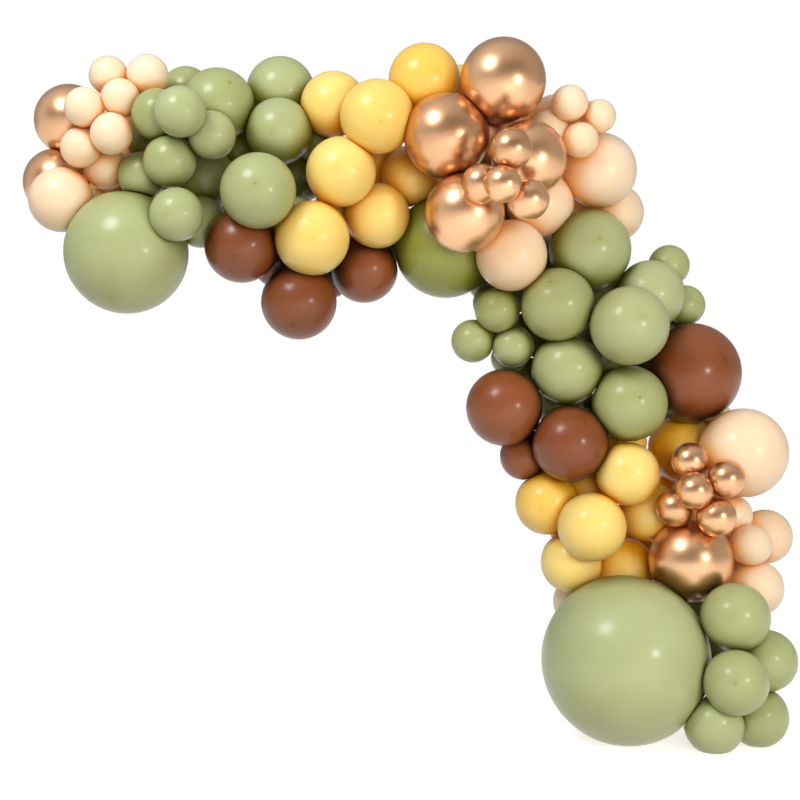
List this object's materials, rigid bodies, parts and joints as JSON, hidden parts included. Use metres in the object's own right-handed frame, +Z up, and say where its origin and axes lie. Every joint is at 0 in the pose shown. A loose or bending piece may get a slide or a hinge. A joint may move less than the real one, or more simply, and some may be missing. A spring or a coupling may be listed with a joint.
{
  "type": "balloon garland",
  "caption": "Half-arch garland of round latex balloons in mixed sizes, hung on a wall and running down one side to a giant balloon on the floor",
  "frame": {"origin": "The middle of the flat where the hidden balloon behind the bend presses on the wall, which is the plane Y = 0", "axes": "+X to the garland's right as seen from the front, +Y into the wall, +Z up. The front looks along -Y"},
  "size_m": [2.1595, 0.6281, 1.8755],
  "materials": {
    "sage_latex": "satin sage-green latex, translucent",
    "brown_latex": "satin chestnut-brown latex, translucent",
    "yellow_latex": "satin honey-yellow latex, translucent",
    "peach_latex": "satin pale peach latex, translucent",
    "gold_chrome_latex": "mirror-bright chrome gold latex"
  },
  "bodies": {
    "root": {"gold_balloon_left_upper": "gold_chrome_latex", "gold_balloon_left_lower": "gold_chrome_latex", "sage_pair_inside_left": "sage_latex", "sage_balloon_medium_top": "sage_latex", "sage_pair_top": "sage_latex", "sage_pair_inside_middle": "sage_latex", "brown_balloon_left": "brown_latex", "brown_balloon_lowest": "brown_latex", "brown_balloon_middle": "brown_latex", "yellow_pair_top_left": "yellow_latex", "yellow_balloon_top": "yellow_latex", "gold_balloon_top": "gold_chrome_latex", "sage_balloon_under_bend": "sage_latex", "peach_pair_bend": "peach_latex", "sage_bunch_outside_bend": "sage_latex", "sage_bunch_inside_bend": "sage_latex", "brown_bunch_column": "brown_latex", "brown_balloon_extra": "brown_latex", "sage_balloon_bend": "sage_latex", "peach_balloon_behind_giant": "peach_latex", "yellow_balloon_column_right": "yellow_latex", "peach_balloon_column_right": "peach_latex", "yellow_balloon_column_back": "yellow_latex", "yellow_balloon_column_left": "yellow_latex", "yellow_bunch_above_giant": "yellow_latex", "gold_balloon_low": "gold_chrome_latex", "peach_bunch_low": "peach_latex", "peach_balloon_left_end": "peach_latex", "peach_bunch_left": "peach_latex", "sage_balloon_jumbo": "sage_latex", "sage_balloon_top_left": "sage_latex", "sage_bunch_left": "sage_latex", "sage_balloon_medium_front": "sage_latex", "sage_balloon_front": "sage_latex", "yellow_pair_middle": "yellow_latex", "yellow_balloon_middle": "yellow_latex", "yellow_balloon_front": "yellow_latex", "gold_balloon_front": "gold_chrome_latex", "peach_balloon_middle": "peach_latex", "peach_bunch_top": "peach_latex", "peach_balloon_lower": "peach_latex", "gold_balloon_right": "gold_chrome_latex", "gold_balloon_lower": "gold_chrome_latex", "gold_bunch_top": "gold_chrome_latex", "sage_balloon_column_low": "sage_latex", "sage_balloon_column_right": "sage_latex", "sage_pair_column": "sage_latex", "yellow_balloon_column_front": "yellow_latex", "gold_bunch_low": "gold_chrome_latex", "sage_bunch_foot": "sage_latex", "sage_balloon_giant": "sage_latex", "gold_filler_bend": "gold_chrome_latex", "peach_filler_left": "peach_latex", "sage_filler_left": "sage_latex", "sage_filler_top": "sage_latex", "yellow_filler_top": "yellow_latex", "sage_filler_middle": "sage_latex", "sage_balloon_on_wall_fixing": "sage_latex", "sage_filler_column": "sage_latex", "yellow_filler_column": "yellow_latex"}
  },
  "joints": []
}
